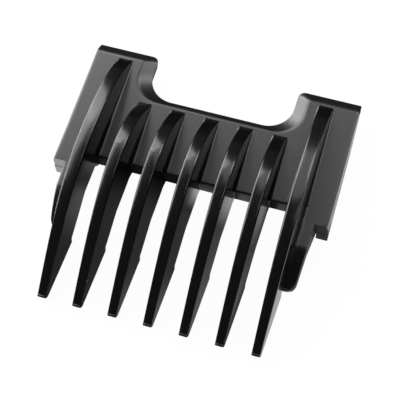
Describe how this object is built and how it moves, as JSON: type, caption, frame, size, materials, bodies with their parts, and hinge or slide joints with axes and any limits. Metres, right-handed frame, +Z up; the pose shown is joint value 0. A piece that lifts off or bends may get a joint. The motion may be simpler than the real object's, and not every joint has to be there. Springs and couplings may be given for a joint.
{
  "type": "clipper guide comb",
  "caption": "Slide-on guide comb for a hair clipper: a notched plate with curved teeth, side guard tongues and rails that grip the blade.",
  "frame": {"origin": "middle of the comb's footprint, on the plane that the rails and the tooth stops rest on", "axes": "+X across the comb to its right side, +Y from the tips to the notched rear edge, +Z up to the skin side"},
  "size_m": [0.0508, 0.0502, 0.0126],
  "materials": {
    "gloss_black": "polished black moulded plastic",
    "satin_black": "satin black moulded plastic"
  },
  "bodies": {
    "root": {"tooth_1": "gloss_black", "tooth_2": "gloss_black", "tooth_3": "gloss_black", "tooth_4": "gloss_black", "tooth_5": "gloss_black", "tooth_6": "gloss_black", "tooth_7": "gloss_black", "back_plate": "satin_black", "left_tongue": "satin_black", "right_tongue": "satin_black", "left_rail": "satin_black", "right_rail": "satin_black", "left_blade_lip": "satin_black", "right_blade_lip": "satin_black"}
  },
  "joints": []
}
